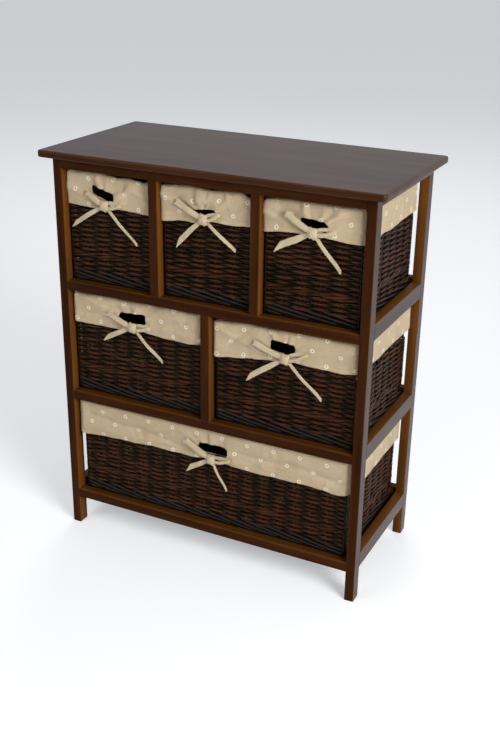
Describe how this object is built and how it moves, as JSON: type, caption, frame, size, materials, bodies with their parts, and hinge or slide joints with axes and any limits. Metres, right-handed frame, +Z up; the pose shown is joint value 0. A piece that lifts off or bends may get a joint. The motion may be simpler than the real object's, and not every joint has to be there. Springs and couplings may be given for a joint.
{
  "type": "basket chest",
  "caption": "Open wooden frame on four posts under a flat top, with pull-out wicker baskets in three rows, each with a cloth liner, hand hole and bow.",
  "frame": {"origin": "on the floor, under the middle of the top board", "axes": "+Z up, the front with the baskets' hand holes looks along -Y, +X to the viewer's right"},
  "size_m": [0.6, 0.3, 0.7],
  "materials": {
    "frame_wood": "dark walnut stain under gloss lacquer",
    "runner_wood": "stained like the frame, hidden under the baskets, so its look is a guess",
    "dowel_wood": "plain hardwood, hidden in the joints, so its look is a guess",
    "screw_steel": "plated, hidden, so its look is a guess",
    "wicker": "dark stained willow with a satin lacquer",
    "liner_cloth": "cream cotton with small printed rings",
    "tie_cloth": "plain cream cotton"
  },
  "bodies": {
    "frame": {"divider_dowels": "dowel_wood", "divider_middle": "frame_wood", "divider_top_left": "frame_wood", "divider_top_right": "frame_wood", "front_apron": "frame_wood", "front_dowels": "dowel_wood", "front_rail_bottom": "frame_wood", "front_rail_middle": "frame_wood", "front_rail_top": "frame_wood", "post_front_left": "frame_wood", "post_front_right": "frame_wood", "post_rear_left": "frame_wood", "post_rear_right": "frame_wood", "rear_apron": "frame_wood", "rear_dowels": "dowel_wood", "rear_rail_bottom": "frame_wood", "rear_rail_middle": "frame_wood", "rear_rail_top": "frame_wood", "runner_bottom_centre": "runner_wood", "runner_bottom_left": "runner_wood", "runner_bottom_right": "runner_wood", "runner_dowels": "dowel_wood", "runner_middle_centre": "runner_wood", "runner_middle_left": "runner_wood", "runner_middle_right": "runner_wood", "runner_screws": "screw_steel", "runner_top_centre_left": "runner_wood", "runner_top_centre_right": "runner_wood", "runner_top_left": "runner_wood", "runner_top_right": "runner_wood", "side_apron_left": "frame_wood", "side_apron_right": "frame_wood", "side_dowels": "dowel_wood", "side_rail_bottom_left": "frame_wood", "side_rail_bottom_right": "frame_wood", "side_rail_middle_left": "frame_wood", "side_rail_middle_right": "frame_wood", "side_rail_top_left": "frame_wood", "side_rail_top_right": "frame_wood", "top_panel": "frame_wood", "top_screws": "screw_steel"},
    "basket_top_left": {"wicker_top_left": "wicker", "liner_top_left": "liner_cloth", "tie_top_left": "tie_cloth"},
    "basket_top_middle": {"wicker_top_middle": "wicker", "liner_top_middle": "liner_cloth", "tie_top_middle": "tie_cloth"},
    "basket_top_right": {"wicker_top_right": "wicker", "liner_top_right": "liner_cloth", "tie_top_right": "tie_cloth"},
    "basket_middle_left": {"wicker_middle_left": "wicker", "liner_middle_left": "liner_cloth", "tie_middle_left": "tie_cloth"},
    "basket_middle_right": {"wicker_middle_right": "wicker", "liner_middle_right": "liner_cloth", "tie_middle_right": "tie_cloth"},
    "basket_bottom": {"wicker_bottom": "wicker", "liner_bottom": "liner_cloth", "tie_bottom": "tie_cloth"}
  },
  "joints": [
    {"name": "pull_top_left", "type": "slide", "parent": "frame", "child": "basket_top_left", "axis": [0, -1, 0], "range_m": [0, 0.25]},
    {"name": "pull_top_middle", "type": "slide", "parent": "frame", "child": "basket_top_middle", "axis": [0, -1, 0], "range_m": [0, 0.25]},
    {"name": "pull_top_right", "type": "slide", "parent": "frame", "child": "basket_top_right", "axis": [0, -1, 0], "range_m": [0, 0.25]},
    {"name": "pull_middle_left", "type": "slide", "parent": "frame", "child": "basket_middle_left", "axis": [0, -1, 0], "range_m": [0, 0.25]},
    {"name": "pull_middle_right", "type": "slide", "parent": "frame", "child": "basket_middle_right", "axis": [0, -1, 0], "range_m": [0, 0.25]},
    {"name": "pull_bottom", "type": "slide", "parent": "frame", "child": "basket_bottom", "axis": [0, -1, 0], "range_m": [0, 0.25]}
  ]
}
